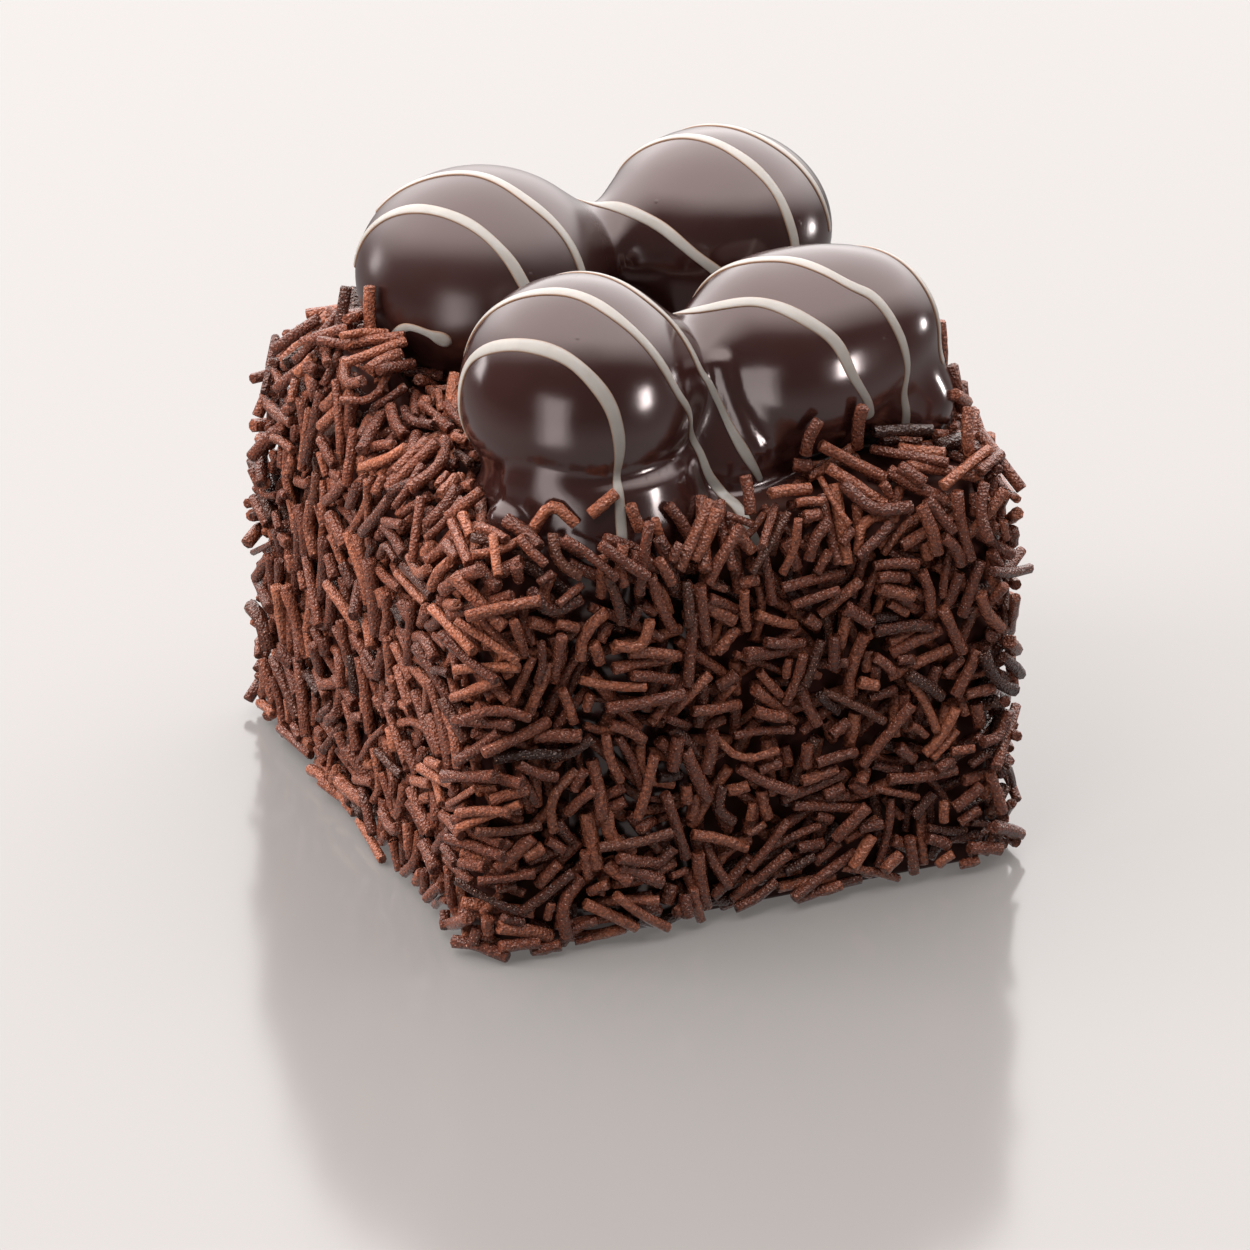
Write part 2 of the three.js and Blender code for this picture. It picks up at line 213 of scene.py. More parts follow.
def surface_net(distance, low, high, cell):
    """A closed mesh of quads where the distance is zero, with one point in each cell that it crosses."""
    counts = [int(math.ceil((b - a) / cell)) + 1 for a, b in zip(low, high)]
    axes = [a + cell * np.arange(n) for a, n in zip(low, counts)]
    value = np.empty(counts, np.float32)
    for k, z in enumerate(axes[2]):
        x, y = np.meshgrid(axes[0], axes[1], indexing="ij")
        value[:, :, k] = distance(np.stack([x, y, np.full_like(x, z)], -1))
    inside = value < 0
    corners = [tuple(slice(o, o + n - 1) for o, n in zip(offset, counts))
               for offset in np.ndindex(2, 2, 2)]
    held = sum(inside[c].astype(np.int8) for c in corners)
    crossed = (held > 0) & (held < 8)
    index = np.full(crossed.shape, -1)
    index[crossed] = np.arange(crossed.sum())
    points = np.array(low) + cell * (np.argwhere(crossed) + 0.5)
    quads = []
    around = [(-1, -1), (0, -1), (0, 0), (-1, 0)]      # the four cells that share an edge of the grid
    for axis in range(3):
        u, v = (axis + 1) % 3, (axis + 2) % 3
        here = [slice(None)] * 3
        there = [slice(None)] * 3
        here[axis], there[axis] = slice(0, -1), slice(1, None)
        first, second = inside[tuple(here)], inside[tuple(there)]
        at = np.argwhere(first != second)
        at = at[(at[:, u] > 0) & (at[:, v] > 0) & (at[:, u] < counts[u] - 1) & (at[:, v] < counts[v] - 1)]
        quad = []
        for du, dv in around:
            c = at.copy()
            c[:, u] += du
            c[:, v] += dv
            quad.append(index[c[:, 0], c[:, 1], c[:, 2]])
        quad = np.stack(quad, 1)
        leaves = first[at[:, 0], at[:, 1], at[:, 2]]
        quads.append(np.where(leaves[:, None], quad, quad[:, ::-1]))
    return points, np.concatenate(quads)


def relaxed(points, quads, rounds=3):
    """Evens out a net: each point moves to the middle of its neighbours, then back onto the surface."""
    for _ in range(rounds):
        total = np.zeros_like(points)
        count = np.zeros(len(points))
        for side in range(4):
            a, b = quads[:, side], quads[:, (side + 1) % 4]
            for i, j in ((a, b), (b, a)):
                for axis in range(3):
                    total[:, axis] += np.bincount(i, points[j, axis], len(points))
                count += np.bincount(i, minlength=len(points))
        points = onto_standing_body(NET["keep"] * points + (1 - NET["keep"]) * total / count[:, None])
    return points


# --- Materials ------------------------------------------------------------------------------------------
def new_material(name):
    """A new material, its node tree and its shader."""
    material = bpy.data.materials.new(name)
    material.use_nodes = True
    tree = material.node_tree
    return material, tree, tree.nodes["Principled BSDF"]


def add_node(tree, kind, settings=(), **inputs):
    """A node with its settings, and with a number or another node's output for each named input."""
    node = tree.nodes.new(kind)
    for key, value in dict(settings).items():
        setattr(node, key, value)
    for key, value in inputs.items():
        socket = node.inputs[key.replace("_", " ")]
        if isinstance(value, bpy.types.NodeSocket):
            tree.links.new(value, socket)
        else:
            socket.default_value = value
    return node


def noise(tree, scale, detail=2.0, roughness=0.5):
    """Noise of so many lumps to the metre, fixed to the object."""
    place = add_node(tree, "ShaderNodeTexCoord").outputs["Object"]
    return add_node(tree, "ShaderNodeTexNoise", Vector=place, Scale=scale, Detail=detail,
                    Roughness=roughness).outputs["Fac"]


def to_specks(tree, scale):
    """The distance to the nearest of so many scattered points to the metre, fixed to the object."""
    place = add_node(tree, "ShaderNodeTexCoord").outputs["Object"]
    return add_node(tree, "ShaderNodeTexVoronoi", Vector=place, Scale=scale).outputs["Distance"]


def added(tree, first, second):
    node = add_node(tree, "ShaderNodeMath", {"operation": "ADD"})
    tree.links.new(first, node.inputs[0])
    tree.links.new(second, node.inputs[1])
    return node.outputs["Value"]


def blended(tree, factor, *colours):
    """A colour that goes through the given ones, evenly, as factor goes from 0 to 1."""
    ramp = add_node(tree, "ShaderNodeValToRGB", Fac=factor)
    stops = ramp.color_ramp.elements
    for i in range(len(colours) - 2):
        stops.new((i + 1) / (len(colours) - 1))
    for stop, colour in zip(stops, colours):
        stop.color = (*colour, 1)
    return ramp.outputs["Color"]


def ranged(tree, value, from_low, from_high, to_low, to_high):
    """The value moved from one range to another, and held within it."""
    return add_node(tree, "ShaderNodeMapRange", Value=value, From_Min=from_low, From_Max=from_high,
                    To_Min=to_low, To_Max=to_high).outputs["Result"]


def bumped(tree, shader, height, distance):
    bump = add_node(tree, "ShaderNodeBump", Strength=1.0, Distance=distance, Height=height)
    tree.links.new(bump.outputs["Normal"], shader.inputs["Normal"])


def painted(tree, name):
    """What the mesh holds for each point under that name."""
    return add_node(tree, "ShaderNodeAttribute", {"attribute_name": name}).outputs["Fac"]


def mixed(tree, kind, factor, low, high):
    """Low where the factor is 0 and high where it is 1, as a FLOAT or an RGBA."""
    node = add_node(tree, "ShaderNodeMix", {"data_type": kind})
    sockets = [s for s in node.inputs if s.enabled]
    for socket, value in zip(sockets, (factor, low, high)):
        if isinstance(value, bpy.types.NodeSocket):
            tree.links.new(value, socket)
        else:
            socket.default_value = value
    return next(s for s in node.outputs if s.enabled)


def ground_material():
    """The dark ground that the vermicelli stick to."""
    material, _, shader = new_material("dark chocolate ground")
    shader.inputs["Base Color"].default_value = (0.034, 0.012, 0.0095, 1)
    shader.inputs["Roughness"].default_value = 0.3
    shader.inputs["Specular IOR Level"].default_value = 0.08
    shader.inputs["Specular Tint"].default_value = (1.0, 0.72, 0.62, 1)
    return material


def glaze_material():
    """Poured glaze: smeared a little, duller on the left ball, with slow waves and a few tiny pimples."""
    material, tree, shader = new_material("dark chocolate glaze")
    poured = blended(tree, noise(tree, 60, 3), (0.017, 0.0052, 0.0044), (0.027, 0.0085, 0.0070))
    tree.links.new(poured, shader.inputs["Base Color"])
    smeared = ranged(tree, noise(tree, 180, 4), 0.3, 0.7, 0.15, 0.22)
    polish = mixed(tree, "FLOAT", painted(tree, "dull"), smeared, 0.3)
    tree.links.new(polish, shader.inputs["Roughness"])
    shader.inputs["IOR"].default_value = 1.75
    shader.inputs["Specular Tint"].default_value = (1.0, 0.86, 0.84, 1)
    pimples = ranged(tree, to_specks(tree, 190), 0.02, 0.07, 0.12, 0.0)
    bumped(tree, shader, added(tree, noise(tree, 110, 1), pimples), 0.00025)
    return material


def icing_material():
    """Off-white icing, tan along its edges, that light goes a little way into."""
    material, tree, shader = new_material("off-white icing")
    cloud = noise(tree, 500, 3)
    body = blended(tree, cloud, (0.30, 0.272, 0.245), (0.38, 0.352, 0.325))
    edged = mixed(tree, "RGBA", painted(tree, "rim"), body, (0.20, 0.095, 0.045, 1))
    tree.links.new(edged, shader.inputs["Base Color"])
    shader.inputs["Roughness"].default_value = 0.3
    shader.inputs["Subsurface Weight"].default_value = 0.2
    shader.inputs["Subsurface Radius"].default_value = (0.0008, 0.0005, 0.0003)
    shader.inputs["Subsurface Scale"].default_value = 1.0
    bumped(tree, shader, cloud, 0.00004)
    return material


def vermicelli_material():
    """Grainy strands in browns of their own, a few dark and wet, all with small glints of light painted
    into their colour.
    """
    material, tree, shader = new_material("chocolate vermicelli")
    wet = painted(tree, "wet")
    grain = noise(tree, 2400, 2, 0.6)
    speckle = ranged(tree, grain, 0.32, 0.68, 0, 1)
    shade = mixed(tree, "FLOAT", 0.4, painted(tree, "tone"), speckle)
    dry = blended(tree, shade, (0.030, 0.0100, 0.0080), (0.165, 0.046, 0.025), (0.50, 0.165, 0.085))
    body = mixed(tree, "RGBA", wet, dry, (0.020, 0.008, 0.006, 1))
    # painted glints: small light flecks in the base colour that stand in for highlights on the strands
    painted_glint = ranged(tree, noise(tree, 4300, 1, 0.5), 0.68, 0.76, 0, 1)
    tree.links.new(mixed(tree, "RGBA", painted_glint, body, (0.58, 0.33, 0.25, 1)), shader.inputs["Base Color"])
    tree.links.new(ranged(tree, wet, 0, 1, 0.2, 0.12), shader.inputs["Roughness"])
    shader.inputs["Specular IOR Level"].default_value = 0.7
    shader.inputs["Specular Tint"].default_value = (1.0, 0.84, 0.79, 1)
    bumped(tree, shader, added(tree, to_specks(tree, 2900), grain), 0.0002)
    return material


# --- Glaze ----------------------------------------------------------------------------------------------
def store(piece, name, values):
    """Keeps a number for each point of the mesh, for its material."""
    layer = piece.data.attributes.new(name, "FLOAT", "POINT")
    layer.data.foreach_set("value", values.astype(np.float32))


def build_glaze(material, ground):
    """The glazed body, whose faces away from the poured glaze are the ground under the vermicelli."""
    low = (-BLOCK["width"] / 2 - NET["margin"], -BLOCK["depth"] / 2 - NET["margin"], -NET["below"])
    high = (-low[0], -low[1], NET["top"])
    points, quads = surface_net(to_standing_body, low, high, NET["cell"])
    points = relaxed(onto_standing_body(points), quads)
    piece = mesh_object("glaze", points, [quads], material)
    piece.data.materials.append(ground)
    is_ground = to_glaze(points[quads].mean(1)) > GROUND_FROM
    piece.data.polygons.foreach_set("material_index", is_ground.astype(np.int32))
    store(piece, "dull", np.clip(1 - to_ellipsoid(points, *BALLS["left"]) / DULL_WITHIN, 0, 1))
    return piece


# --- Icing ----------------------------------------------------------------------------------------------
ICING = {"width": 1.45, "stand": 0.24, "sink": 0.3, "step": 0.45, "sides": 11, "evenings": 4,
         "crown": 0.7, "thin_end": 1.3, "least": 0.02, "seed": 3}
SWELL = ((0.06, 2.9), (0.04, 1.3))      # the width swells by such shares, in waves of such lengths / 2 pi
# Each line's points lie near the surface, in mm, and the line is pulled onto it between them. A fourth
# number is the line's width there, where it isn't the usual one. The lines were piped nearly parallel.
ICING_LINES = {
    "front_outer": [(-29, -15, 57.5), (-29.2, -16.5, 64), (-28, -18, 70, 1.5), (-25, -23.5, 74, 1.7),
                    (-20.5, -29, 74, 1.8), (-17, -33, 70, 1.8), (-15.7, -34, 65, 1.5),
                    (-15.6, -33.3, 60, 1.0), (-15.8, -33.8, 58, 1.3), (-16, -35, 52),
                    (-16, -36.5, 49, 1.0)],
    "front_middle": [(-26, -9.5, 57), (-26, -10.5, 64), (-24.5, -13, 71.5), (-21.5, -17, 76.5),
                     (-16.5, -22, 78.5, 1.6), (-12.3, -27.4, 76.3, 1.5), (-8.6, -30.6, 71.3, 1.3),
                     (-6.9, -31, 67.7, 1.1), (-4.6, -29.2, 63.5, 1.0), (-3.1, -27.7, 58.5, 1.1),
                     (-1.8, -28.8, 54.7, 1.3), (0.1, -31, 52.2, 1.4), (1.3, -34.3, 49.1, 1.3),
                     (2.2, -34.8, 47.5, 1.0)],
    "front_inner": [(-17.8, -6, 64), (-16.5, -8.3, 71), (-14, -11.7, 76), (-9, -19, 77.2),
                    (-6.7, -22.2, 75.7), (-4.1, -23.8, 72.8, 1.3), (-2.1, -26, 68, 1.1),
                    (-0.7, -26.1, 65.5, 1.0), (1, -27.3, 61.1, 1.1), (2.1, -28.7, 58.3, 1.3),
                    (3, -29.4, 56.4, 1.2), (4.6, -29.8, 53.4, 0.8)],
    "left_foot": [(-25.8, 12.5, 59.1, 1.8), (-25.6, 10.2, 61.7, 1.2), (-24.7, 8.6, 62.2, 1.0),
                  (-23.4, 7.0, 61.8, 1.2), (-22.4, 6.2, 61.4, 2.2), (-21.2, 5.3, 60.8, 2.3)],
    "left_outer": [(-26.5, 24, 64), (-25, 22, 69.7), (-21.6, 17.4, 73.7), (-17.2, 10.7, 74.1),
                   (-14, 5.6, 71.2), (-12, 2.5, 67), (-8.5, -2.5, 62), (-5, -8, 64), (-1.5, -13.5, 68),
                   (1.6, -18.1, 71.6), (6.9, -23.1, 73.7), (11.8, -27.9, 72, 1.6),
                   (14.1, -29.8, 69.9, 1.6), (15.4, -31.2, 66.5), (16.7, -31.3, 64, 1.2),
                   (18, -31, 61.5, 1.1), (18.8, -31, 58.5)],
    "left_inner": [(-22, 26, 69), (-18.6, 23.9, 73.9), (-12.6, 18.8, 76.2), (-8.7, 12.1, 74.9),
                   (-5.3, 7.7, 71), (-2.5, 3.5, 67), (1, -1, 62), (4.5, -8, 67), (7.6, -13, 74),
                   (10.3, -16, 75.7), (13.1, -18.6, 76.1), (17.7, -24.2, 74.7), (20.4, -25.8, 73.2),
                   (22.6, -28.1, 69.3, 1.2), (23.6, -28.8, 64.5, 1.0), (23.3, -28.6, 61.3, 1.0),
                   (23.8, -28.2, 58.5, 1.1), (23.8, -27.9, 56.4, 1.1)],
    "saddle": [(1, 22, 69), (4.6, 16.6, 69.8), (7.7, 10.2, 69.5), (11, 5.5, 66.6), (12.9, 4.3, 65),
               (15.5, -1, 62), (18.5, -6, 67), (22, -11, 72), (26, -16, 73.5), (29, -21, 71.5),
               (31, -24, 67), (31.5, -24.5, 62)],
    "back_outer": [(8, 29.5, 68), (9.7, 26.6, 72.5), (15.6, 19.7, 75.9), (19.4, 12.8, 75.6),
                   (21.9, 8.1, 72.9), (23, 5, 68.6), (24, 2.5, 64), (26, -1, 60)],
    "back_inner": [(15.1, 30.4, 66), (18.6, 25.5, 73.5), (22.1, 20.7, 75.5), (25.6, 15.8, 74.8),
                   (29, 10.9, 69.5, 1.2), (30.3, 9, 65, 1.0)],
}


def spline(points, step):
    """Points a step apart on a smooth curve through the given ones."""
    points = np.array(points, float)
    padded = np.vstack([2 * points[0] - points[1], points, 2 * points[-1] - points[-2]])
    out = []
    for a, b, c, d in zip(padded, padded[1:], padded[2:], padded[3:]):
        t = np.linspace(0, 1, max(2, int(np.linalg.norm(c - b) / step) + 1), endpoint=False)[:, None]
        out.append(0.5 * (2 * b + (c - a) * t + (2 * a - 5 * b + 4 * c - d) * t ** 2
                          + (3 * b - a - 3 * c + d) * t ** 3))
    return np.vstack(out + [points[-1:]])


def icing_strip(points, rng):
    """A strip that stands a little proud of the surface, with rounded ends."""
    smooth = spline([(*p, ICING["width"])[:4] for p in points], ICING["step"])
    path, width = onto_body(smooth[:, :3]), smooth[:, 3]
    for _ in range(ICING["evenings"]):
        path[1:-1] = (path[:-2] + 2 * path[1:-1] + path[2:]) / 4
        path = onto_body(path, 2)
    outward = normal_at(path)
    ahead = np.gradient(path, axis=0)
    ahead /= np.linalg.norm(ahead, axis=1, keepdims=True)
    across = np.cross(ahead, outward)
    length = np.r_[0, np.cumsum(np.linalg.norm(np.diff(path, axis=0), axis=1))]
    phases = rng.uniform(0, 2 * math.pi, 3)     # the third is spare
    half = width / 2 * (1 + sum(share * np.sin(length / wave + phase)
                                for (share, wave), phase in zip(SWELL, phases)))
    end = np.minimum(length, length[-1] - length) / half
    half = half * np.sqrt(np.clip(1 - (1 - np.minimum(end, 1)) ** 2, ICING["least"], 1))
    angle = np.linspace(0, math.pi, ICING["sides"])
    top = onto_body(path[:, None] + across[:, None] * (half[:, None] * np.cos(angle))[..., None], 2)
    lift = np.sin(angle) ** ICING["crown"] * np.minimum(half / half.max() * ICING["thin_end"], 1)[:, None]
    lift = ICING["stand"] * lift
    top = top + outward[:, None] * lift[..., None]
    below = top[:, [-1, 0]] - outward[:, None] * ICING["sink"]
    return tube_faces(np.concatenate([top, below], axis=1))


def tube_faces(rings):
    """Points and faces of a tube with closed ends, from its rings of points."""
    count, around = rings.shape[:2]
    index = np.arange(count * around).reshape(count, around)
    following = np.roll(index, -1, axis=1)
    quads = np.stack([index[:-1], index[1:], following[1:], following[:-1]], -1).reshape(-1, 4)
    points = np.vstack([rings.reshape(-1, 3), rings[0].mean(0), rings[-1].mean(0)])
    first = np.stack([np.full(around, count * around), index[0], following[0]], -1)
    last = np.stack([np.full(around, count * around + 1), following[-1], index[-1]], -1)
    return points, quads, np.vstack([first, last])


def build_icing(material):
    """All the lines as one mesh, which holds how close each point is to a line's edge."""
    rng = np.random.default_rng(ICING["seed"])
    points, quads, triangles, rim, start = [], [], [], [], 0
    # Of a ring's points the outermost and the two below them are tan, the next nearly, the third a little.
    around = ICING["sides"] + 2
    at_edge = np.zeros(around)
    at_edge[[0, ICING["sides"] - 1, around - 2, around - 1]] = 1
    at_edge[[1, ICING["sides"] - 2]] = 0.8
    at_edge[[2, ICING["sides"] - 3]] = 0.2
    for line in ICING_LINES.values():
        p, q, t = icing_strip(line, rng)
        points.append(p)
        quads.append(q + start)
        triangles.append(t + start)
        rim.append(np.r_[np.tile(at_edge, (len(p) - 2) // around), 1, 1])
        start += len(p)
    piece = mesh_object("icing", np.vstack(points), [np.vstack(quads), np.vstack(triangles)], material)
    store(piece, "rim", np.concatenate(rim))
    return piece


# --- Vermicelli -----------------------------------------------------------------------------------------
# Each end of a strand narrows by the taper over the lip's length, and is hollowed as deep as the dent.
STRAND = {"radius": 0.70, "radius_spread": 0.15, "rings": 7, "sides": 8, "roughness": 0.065, "lip": 0.16,
          "dent": 0.42, "taper": 0.84, "placed": 1.1, "bow_middle": 0.66}
# How the strands lie: the cells of the grid that keeps them apart, how close two centrelines come, how
# close one comes to the body, the gap above the floor, the steps that they are lowered by, and the share
# that strays from the surface, by up to so many radians.
COAT = {"cell": 0.3, "contact": 1.02, "sunk": 0.30, "clear": 0.15, "deepest": 0.1, "step": 0.2,
        "stray_share": 0.07, "stray_lean": 0.6, "seed": 11}
SPACE = {"margin": 21.0, "bottom": -9.0, "top": 90.0}      # how far that grid reaches beyond the block
# Where the strands lie: on the sides and the rim, or heaped on the rim beside the left ball. Each is the
# lowest of several tries, dropped from the highest offset, and is left out where it lies too high.
COVER = {"tries": 18, "highest": 3.8, "thickness": 3.3, "lean": 7.0, "lowest": 1.2}
PILE = {"tries": 5, "count": 220, "highest": 7.5, "thickness": 4.0, "lean": 22.0, "least_up": 0.05}
AT_FOOT = {"share": 0.1, "from": 1.0, "band": 3.5}         # some starts go to a band along the foot
TONE = {"middle": 0.5, "spread": 0.22}                     # how light each strand is
WET = {"share": 0.09, "wet": (0.4, 1.0), "dry": (0.0, 0.15)}
# A few strands whose places stand out, by their two ends and the bow between them.
PLACED = [
    ((9.1, -32.0, 57.2), (10.7, -32.3, 61.6), 0.3), ((16.2, -31.0, 56.4), (16.3, -32.3, 62.4), 0.2),
    ((30.0, -32.8, 53.2), (30.8, -30.8, 59.0), 0.4), ((18.4, -30.6, 57.9), (26.4, -29.9, 56.4), 0.1),
    ((21.5, -30.9, 55.2), (27.0, -32.6, 54.3), 0.0), ((21.6, -33.3, 54.0), (30.7, -35.1, 51.6), 0.2),
    ((11.1, -31.6, 58.0), (18.6, -33.9, 53.2), 0.0), ((11.6, -32.6, 55.4), (17.7, -36.1, 50.8), 0.1),
    ((-19.8, -35.1, 56.0), (-16.4, -35.1, 58.4), 0.0), ((0.6, -33.6, 56.8), (0.4, -35.8, 52.6), 0.2),
    ((3.2, -35.1, 54.6), (8.8, -34.2, 53.8), 0.1), ((-26.1, -32.7, 54.1), (-21.3, -34.6, 54.8), 2.4),
    ((-15.1, -36.0, 56.9), (-13.9, -36.3, 53.5), 0.0), ((-10.0, -35.3, 55.6), (-7.5, -36.2, 51.0), 0.3),
    ((32.0, -20.2, 59.2), (31.9, -19.6, 65.3), 0.2), ((32.8, -17.8, 56.8), (32.3, -17.0, 62.6), 0.1),
    ((33.8, -22.4, 54.2), (32.6, -21.6, 60.2), 0.2), ((31.0, -26.2, 58.6), (34.2, -22.8, 55.4), 0.1),
    ((-28.8, 12.5, 59.0), (-28.2, 14.2, 66.0), 0.2), ((-31.5, 16.5, 58.2), (-29.6, 18.4, 64.4), 0.1),
    ((-35.0, 19.0, 57.5), (-30.8, 14.0, 61.0), 0.3), ((-36.5, 25.5, 54.0), (-31.5, 23.0, 58.5), 0.1),
]
# How far up the side and over the rim the coat reaches, in mm along the surface, by plan angle from +X.
COAT_REACH = {-180: 70, -150: 62, -135: 58, -118: 52, -90: 53, -75: 58, -60: 61, -45: 61, -30: 61, 0: 67,
              45: 62, 90: 62, 135: 64, 180: 70}
KINDS = {  # how many, their shortest and longest, and the least and most bow, in mm
    "straight": {"count": 1740, "length": (5.5, 10.5), "bow": (0.0, 0.12)},
    "bowed": {"count": 1700, "length": (5.0, 9.5), "bow": (0.12, 0.5)},
    "bent": {"count": 640, "length": (5.0, 9.0), "bow": (0.5, 2.4)},
    "short": {"count": 1760, "length": (2.2, 5.2), "bow": (0.0, 0.15)},
}


def starts_on_coat(count, rng):
    """Random points on the coated surface, which is the sides and the rim."""
    width, depth = BLOCK["width"], BLOCK["depth"]
    side = rng.uniform(0, 2 * (width + depth), count)
    stretch = np.searchsorted(np.cumsum([width, depth, width]), side)
    along = side - np.array([0, width, width + depth, 2 * width + depth])[stretch]
    right, back = np.full(count, width / 2), np.full(count, depth / 2)
    x = np.choose(stretch, [along - width / 2, right, width / 2 - along, -right])
    y = np.choose(stretch, [-back, along - depth / 2, back, depth / 2 - along])
    inward = np.stack([np.choose(stretch, [0, -1, 0, 1]), np.choose(stretch, [1, 0, -1, 0])], -1)
    angle = np.degrees(np.arctan2(y, x))
    reach = np.interp(angle, list(COAT_REACH), list(COAT_REACH.values()))
    climb = COVER["lowest"] + (reach - COVER["lowest"]) * rng.random(count)
    at_foot = rng.random(count) < AT_FOOT["share"]
    climb = np.where(at_foot, AT_FOOT["from"] + AT_FOOT["band"] * rng.random(count), climb)
    over = np.maximum(climb - BLOCK["height"], 0)[:, None]
    flat = np.stack([x, y], -1) + inward * over
    return onto_body(np.column_stack([flat, np.minimum(climb, BLOCK["height"])]), 6)


def starts_on_pile(count, rng):
    """Random points on the upper outer part of the heap's core."""
    centre, half = np.array(HEAP)
    around = rng.uniform(math.pi / 2, 3 * math.pi / 2, count)
    up = rng.uniform(PILE["least_up"], 1, count)
    level = np.sqrt(1 - up * up)
    outward = np.column_stack([np.cos(around) * level, np.sin(around) * level, up])
    return onto_body(centre + outward * half, 6)


def strand_axis(length, bow):
    """A strand's centreline in its own plane: straight, or bent like a bow or a hook."""
    t = np.linspace(-0.5, 0.5, STRAND["rings"])
    return np.stack([t * length, bow * (0.25 - t * t) * 4 - bow * STRAND["bow_middle"]], -1)


class Space:
    """The space that the laid strands take up, as a grid of small cells."""

    def __init__(self):
        reach_x, reach_y = BLOCK["width"] / 2 + SPACE["margin"], BLOCK["depth"] / 2 + SPACE["margin"]
        self.low = np.array([-reach_x, -reach_y, SPACE["bottom"]])
        high = np.array([reach_x, reach_y, SPACE["top"]])
        self.taken = np.zeros(np.ceil((high - self.low) / COAT["cell"]).astype(int), bool)
        count = int(COAT["contact"] / COAT["cell"]) + 1
        near = np.argwhere(np.ones((2 * count + 1,) * 3)) - count
        self.near = near[np.linalg.norm(near, axis=1) * COAT["cell"] <= COAT["contact"]]

    def cells(self, points):
        return ((points - self.low) / COAT["cell"]).astype(int)

    def holds(self, points):
        """Which of the points are too close to a laid strand."""
        return self.taken[tuple(np.moveaxis(self.cells(points), -1, 0))]

    def fill(self, line):
        """Takes up the space round a strand's centreline."""
        fine = np.concatenate([line, (line[:-1] + line[1:]) / 2])
        around = (self.cells(fine)[:, None] + self.near).reshape(-1, 3)
        self.taken[tuple(around.T)] = True


def place_strands(space):
    """The strands whose places are given."""
    laid = []
    for start, end, bow in PLACED:
        start, end = np.array(start), np.array(end)
        outward = normal_at((start + end)[None] / 2)[0]
        aside = np.cross(outward, end - start)
        aside /= np.linalg.norm(aside)
        t = np.linspace(0, 1, STRAND["rings"])[:, None]
        line = start + (end - start) * t + aside * bow * 4 * t * (1 - t)
        space.fill(line)
        laid.append((line, outward, STRAND["radius"] * STRAND["placed"]))
    return laid


def random_headings(outward, usual_lean, rng):
    """For each outward direction, a random one close to the surface, and the one across both."""
    tries = len(outward)
    turn = rng.uniform(0, 2 * math.pi, tries)
    lean = np.radians(rng.normal(0, usual_lean, tries))
    strays = rng.random(tries) < COAT["stray_share"]
    lean += strays * rng.uniform(-COAT["stray_lean"], COAT["stray_lean"], tries)
    level = np.cross(np.array([0, 0, 1.0]), outward) + 1e-6
    level /= np.linalg.norm(level, axis=1, keepdims=True)
    upward = np.cross(outward, level)
    ahead = level * np.cos(turn)[:, None] + upward * np.sin(turn)[:, None]
    ahead = ahead * np.cos(lean)[:, None] + outward * np.sin(lean)[:, None]
    aside = np.cross(outward, ahead)
    return ahead, aside / np.linalg.norm(aside, axis=1, keepdims=True)


def lowest_place(space, places, radius, offsets, thickness):
    """The try and the offset at which a strand lies lowest before it touches, if that is low enough."""
    stuck = (space.holds(places) | (to_body(places) < COAT["sunk"])
             | (places[..., 2] < radius + COAT["clear"])).any(-1)
    first = np.where(stuck.any(1), stuck.argmax(1), len(offsets))
    first = np.where(first == 0, -1, first)
    best = int(first.argmax())
    if first[best] < 0 or offsets[first[best] - 1] > thickness:
        return None
    return best, first[best] - 1


def lay_strands(rng):
    """Drops strands one by one onto the body until they touch, and keeps the lowest of several tries."""
    space = Space()
    laid = {name: [] for name in KINDS}
    laid["straight"] = place_strands(space)
    kinds = [name for name, kind in KINDS.items() for _ in range(kind["count"])]
    kinds = [kinds[i] for i in rng.permutation(len(kinds))]
    most = COVER["tries"]
    starts = starts_on_coat(len(kinds) * most, rng).reshape(-1, most, 3)
    starts[-PILE["count"]:] = starts_on_pile(PILE["count"] * most, rng).reshape(-1, most, 3)
    normals = normal_at(starts)
    for i, kind in enumerate(kinds):
        area = PILE if i >= len(kinds) - PILE["count"] else COVER
        offsets = np.arange(area["highest"], COAT["deepest"], -COAT["step"])
        length = rng.uniform(*KINDS[kind]["length"])
        bow = rng.uniform(*KINDS[kind]["bow"]) * rng.choice([-1, 1])
        radius = STRAND["radius"] * (1 + STRAND["radius_spread"] * rng.normal())
        start, outward = starts[i, :area["tries"]], normals[i, :area["tries"]]
        ahead, aside = random_headings(outward, area["lean"], rng)
        flat = strand_axis(length, bow)
        lines = start[:, None] + ahead[:, None] * flat[:, :1] + aside[:, None] * flat[:, 1:]
        places = lines[:, None] + outward[:, None, None] * offsets[:, None, None]
        found = lowest_place(space, places, radius, offsets, area["thickness"])
        if found is None:
            continue
        space.fill(places[found])
        laid[kind].append((places[found], outward[found[0]], radius))
    return laid


